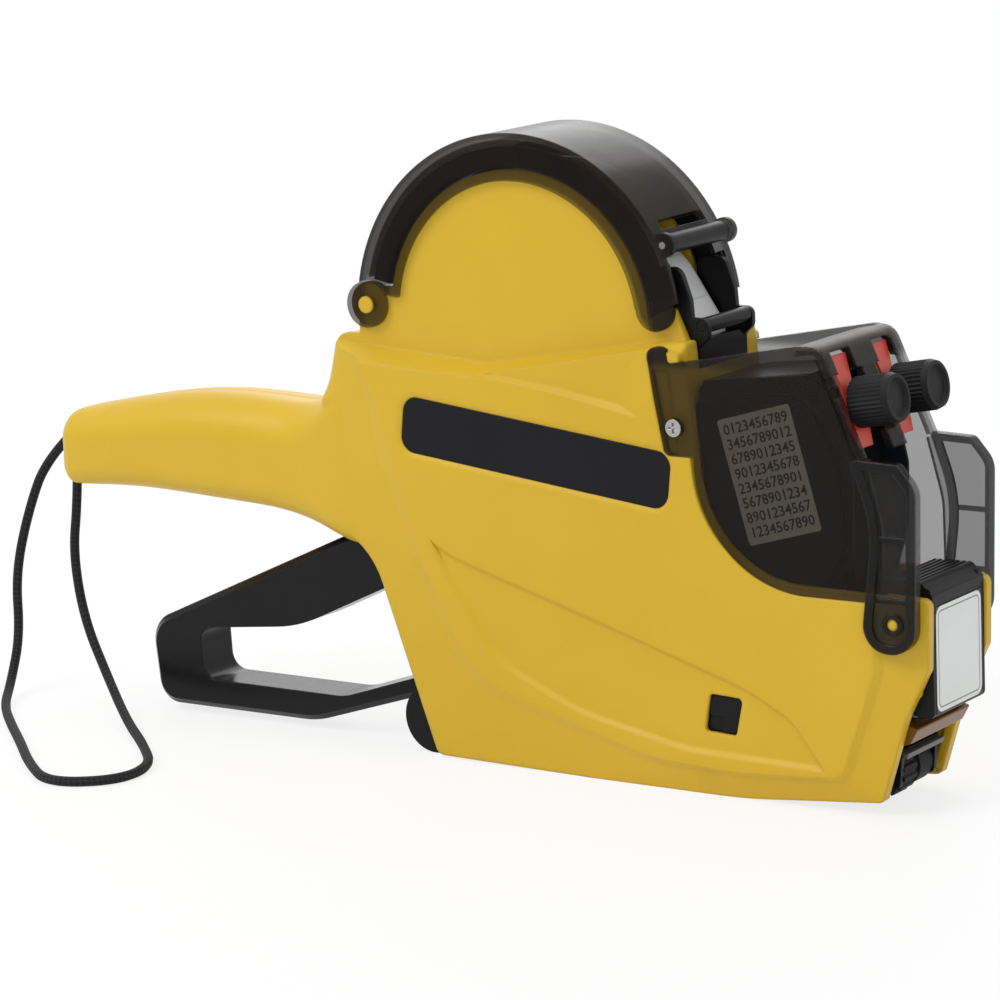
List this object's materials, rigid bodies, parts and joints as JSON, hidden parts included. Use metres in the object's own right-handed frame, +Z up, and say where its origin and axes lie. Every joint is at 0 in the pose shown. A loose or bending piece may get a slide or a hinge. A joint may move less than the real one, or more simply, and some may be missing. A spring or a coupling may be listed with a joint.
{
  "type": "price labeler",
  "caption": "Hand-held price labeler: yellow two-half body, squeeze lever, label roll under a hinged smoke cover, print heads with pull knobs under a smoke hood, wrist strap.",
  "frame": {"origin": "On the flat underside, in the middle of the belly flat along X and on the mid-plane between the two shells; the piece stands on Z = 0.", "axes": "+X points from the handle to the labelling head, +Y to the far (left-hand) side, +Z up."},
  "size_m": [0.2706, 0.0959, 0.149],
  "materials": {
    "shell": "fine moulded satin yellow",
    "smoke_cover": "clear smoke-brown moulding",
    "smoke_hood": "clear smoke-brown moulding",
    "black_plastic": "satin black moulding",
    "blue_black": "satin blue-black moulding",
    "knob_black": "ribbed matt black",
    "nameplate": "bare black sticker",
    "red_plastic": "glossy red moulding",
    "type_rubber": "pale rubber type",
    "chart_print": "brown card with pale digits",
    "bright_steel": "bright plated screw",
    "steel": "plain steel",
    "label_paper": "white label paper",
    "roll_core": "card tube",
    "amber_plastic": "clear amber moulding",
    "pale_plastic": "grey strip",
    "ink_felt": "inked felt",
    "soft_rubber": "soft black rubber",
    "strap_cord": "braided black cord"
  },
  "bodies": {
    "body": {"near_shell": "shell", "far_shell": "shell", "near_roll_hub": "shell", "far_roll_hub": "shell", "head_cover": "smoke_hood", "label_guide": "black_plastic", "print_base": "black_plastic", "roller_shield": "black_plastic", "near_nameplate": "nameplate", "far_nameplate": "nameplate", "hood_screws": "bright_steel", "body_screws": "steel", "lever_axle": "steel", "holder_pin": "steel", "applicator_pin": "steel", "feed_axle": "steel", "tray_pin": "steel", "return_spring": "steel", "label_strip": "label_paper", "peel_guide": "amber_plastic", "scraper_strip": "pale_plastic", "wrist_strap": "strap_cord"},
    "roll_cover": {"roll_cover": "smoke_cover", "cover_liner": "black_plastic", "cover_bar_pin": "steel"},
    "cover_bar": {"cover_bar": "black_plastic"},
    "label_roll": {"label_roll": "label_paper", "roll_core": "roll_core"},
    "guide_roller": {"guide_roller": "black_plastic"},
    "lever": {"squeeze_lever": "black_plastic", "rocker": "black_plastic", "print_frame": "blue_black", "near_head_plate": "blue_black", "far_head_plate": "blue_black", "near_chart": "chart_print", "far_chart": "chart_print", "near_type_block": "black_plastic", "far_type_block": "black_plastic", "near_type_bands": "type_rubber", "far_type_bands": "type_rubber", "near_band_wheels": "blue_black", "far_band_wheels": "blue_black"},
    "near_selector": {"near_pointer": "red_plastic"},
    "far_selector": {"far_pointer": "red_plastic"},
    "near_knob": {"near_knob": "knob_black", "near_selector_shaft": "steel"},
    "far_knob": {"far_knob": "knob_black", "far_selector_shaft": "steel"},
    "feed_wheel": {"feed_wheel": "black_plastic"},
    "tray": {"bottom_tray": "black_plastic"},
    "near_latch": {"near_latch": "black_plastic"},
    "far_latch": {"far_latch": "black_plastic"},
    "ink_holder": {"ink_holder": "black_plastic", "holder_label": "label_paper", "ink_roller_pin": "steel"},
    "ink_roller": {"ink_roller": "ink_felt"},
    "applicator": {"applicator_roller": "soft_rubber"}
  },
  "joints": [
    {"name": "roll_cover_hinge", "type": "hinge", "parent": "body", "child": "roll_cover", "pos_m": [-0.0735, 0, 0.1075], "axis": [0, -1, 0], "range_deg": [0, 100]},
    {"name": "cover_bar_spin", "type": "hinge", "parent": "roll_cover", "child": "cover_bar", "pos_m": [0.0083, 0, 0.125], "axis": [0, 1, 0], "continuous": true},
    {"name": "label_roll_spin", "type": "hinge", "parent": "body", "child": "label_roll", "pos_m": [-0.032, 0, 0.105], "axis": [0, 1, 0], "continuous": true},
    {"name": "guide_roller_spin", "type": "hinge", "parent": "body", "child": "guide_roller", "pos_m": [0.0156, 0, 0.1066], "axis": [0, 1, 0], "continuous": true},
    {"name": "lever_squeeze", "type": "hinge", "parent": "body", "child": "lever", "pos_m": [-0.028, 0, 0.058], "axis": [0, 1, 0], "range_deg": [0, 10], "stiffness_Nm_per_rad": 8, "springref_deg": -5.73, "deforming": ["return_spring"]},
    {"name": "near_selector_pull", "type": "slide", "parent": "lever", "child": "near_selector", "axis": [0.9848, 0, 0.1736], "range_m": [0, 0.012]},
    {"name": "far_selector_pull", "type": "slide", "parent": "lever", "child": "far_selector", "axis": [0.9848, 0, 0.1736], "range_m": [0, 0.012]},
    {"name": "near_knob_turn", "type": "hinge", "parent": "near_selector", "child": "near_knob", "pos_m": [0.05537, -0.0093, 0.09194], "axis": [0.9848, 0, 0.1736], "continuous": true},
    {"name": "far_knob_turn", "type": "hinge", "parent": "far_selector", "child": "far_knob", "pos_m": [0.05537, 0.0093, 0.09194], "axis": [0.9848, 0, 0.1736], "continuous": true},
    {"name": "feed_wheel_spin", "type": "hinge", "parent": "body", "child": "feed_wheel", "pos_m": [0.0332, 0, 0.0155], "axis": [0, 1, 0], "range_deg": [-90, 0]},
    {"name": "tray_hinge", "type": "hinge", "parent": "body", "child": "tray", "pos_m": [-0.056, 0, 0.0084], "axis": [0, 1, 0], "range_deg": [0, 60]},
    {"name": "near_latch_press", "type": "slide", "parent": "body", "child": "near_latch", "axis": [0, 1, 0], "range_m": [0, 0.002], "stiffness_N_per_m": 200, "springref_m": -0.002},
    {"name": "far_latch_press", "type": "slide", "parent": "body", "child": "far_latch", "axis": [0, -1, 0], "range_m": [0, 0.002], "stiffness_N_per_m": 200, "springref_m": -0.002},
    {"name": "ink_holder_hinge", "type": "hinge", "parent": "body", "child": "ink_holder", "pos_m": [0.0692, 0, 0.029], "axis": [0, 1, 0], "range_deg": [0, 70]},
    {"name": "ink_roller_spin", "type": "hinge", "parent": "ink_holder", "child": "ink_roller", "pos_m": [0.0656, 0, 0.0385], "axis": [0, 1, 0], "continuous": true},
    {"name": "applicator_spin", "type": "hinge", "parent": "body", "child": "applicator", "pos_m": [0.0576, 0, 0.0079], "axis": [0, 1, 0], "continuous": true}
  ],
  "couplings": [
    {"joint": "feed_wheel_spin", "follows": "lever_squeeze", "ratio": -9}
  ]
}
